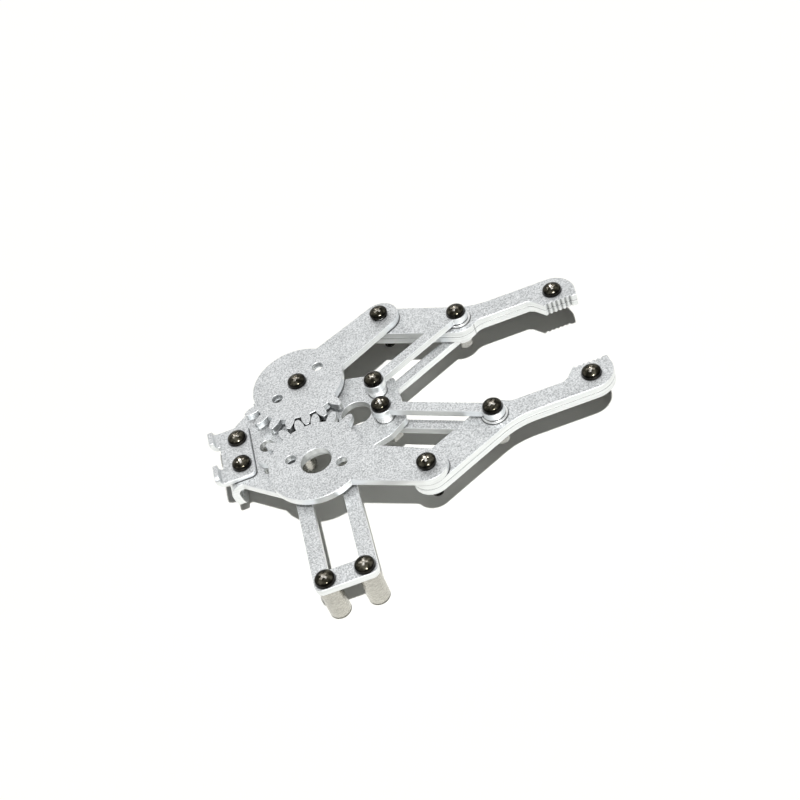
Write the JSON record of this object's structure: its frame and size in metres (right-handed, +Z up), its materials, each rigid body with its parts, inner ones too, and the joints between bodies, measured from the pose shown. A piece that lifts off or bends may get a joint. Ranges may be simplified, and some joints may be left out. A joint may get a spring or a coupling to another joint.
{
  "type": "two finger servo gripper",
  "caption": "Parallel linkage gripper of sheet aluminium: a meshed gear pair swings both fingers together on arms and links; frame for a standard servo and a round wrist flange.",
  "frame": {"origin": "centre of the wrist bore on the rear face of the base plate's flange", "axes": "+X from the wrist to the finger tips, +Y away from the servo frame, +Z up through the deck, along the gear axes"},
  "size_m": [0.1051, 0.0865, 0.0193],
  "materials": {
    "sheet_aluminium": "sandblasted satin",
    "dark_nickel": "dark nickel plate, glossy",
    "satin_steel": "turned, satin",
    "turned_aluminium": "turned, bright",
    "zinc": "zinc plate, satin"
  },
  "bodies": {
    "base": {"base_plate": "sheet_aluminium", "rear_bracket": "sheet_aluminium", "bracket_screws": "dark_nickel", "servo_standoffs": "satin_steel", "standoff_screws": "dark_nickel", "countersunk_screws": "dark_nickel", "idler_screw": "dark_nickel", "idler_washer": "turned_aluminium", "idler_nut": "zinc", "inner_pivot_screws": "dark_nickel", "inner_pivot_spacers": "turned_aluminium", "inner_pivot_washers": "zinc", "inner_pivot_nuts": "zinc"},
    "drive_gear": {"drive_gear_arm": "sheet_aluminium"},
    "idler_gear": {"idler_gear_arm": "sheet_aluminium"},
    "near_link": {"near_link_top": "sheet_aluminium", "near_link_bottom": "sheet_aluminium", "near_sleeve": "turned_aluminium", "near_sleeve_screw": "dark_nickel", "near_round_nut": "zinc"},
    "near_finger": {"near_finger_upper": "sheet_aluminium", "near_finger_lower": "sheet_aluminium", "near_elbow_bushing": "turned_aluminium", "near_elbow_screw": "dark_nickel", "near_tip_screw": "dark_nickel"},
    "far_link": {"far_link_top": "sheet_aluminium", "far_link_bottom": "sheet_aluminium", "far_sleeve": "turned_aluminium", "far_sleeve_screw": "dark_nickel", "far_round_nut": "zinc"},
    "far_finger": {"far_finger_upper": "sheet_aluminium", "far_finger_lower": "sheet_aluminium", "far_elbow_bushing": "turned_aluminium", "far_elbow_screw": "dark_nickel", "far_tip_screw": "dark_nickel"}
  },
  "joints": [
    {"name": "drive_pivot", "type": "hinge", "parent": "base", "child": "drive_gear", "pos_m": [0.0244, -0.015, 0.0093], "axis": [0, 0, -1], "range_deg": [-24.8, 36]},
    {"name": "idler_pivot", "type": "hinge", "parent": "base", "child": "idler_gear", "pos_m": [0.0244, 0.015, 0.0093], "axis": [0, 0, 1], "range_deg": [-24.8, 36]},
    {"name": "near_link_pivot", "type": "hinge", "parent": "base", "child": "near_link", "pos_m": [0.0442, -0.0049, 0.0065], "axis": [0, 0, -1], "range_deg": [-24.8, 36]},
    {"name": "far_link_pivot", "type": "hinge", "parent": "base", "child": "far_link", "pos_m": [0.0442, 0.0049, 0.0065], "axis": [0, 0, 1], "range_deg": [-24.8, 36]},
    {"name": "near_elbow", "type": "hinge", "parent": "drive_gear", "child": "near_finger", "pos_m": [0.05086, -0.02913, 0.0093], "axis": [0, 0, 1], "range_deg": [-24.8, 36]},
    {"name": "far_elbow", "type": "hinge", "parent": "idler_gear", "child": "far_finger", "pos_m": [0.05086, 0.02913, 0.0093], "axis": [0, 0, -1], "range_deg": [-24.8, 36]}
  ],
  "couplings": [
    {"joint": "idler_pivot", "follows": "drive_pivot", "ratio": 1},
    {"joint": "near_link_pivot", "follows": "drive_pivot", "ratio": 1},
    {"joint": "far_link_pivot", "follows": "drive_pivot", "ratio": 1},
    {"joint": "near_elbow", "follows": "drive_pivot", "ratio": 1},
    {"joint": "far_elbow", "follows": "drive_pivot", "ratio": 1}
  ]
}
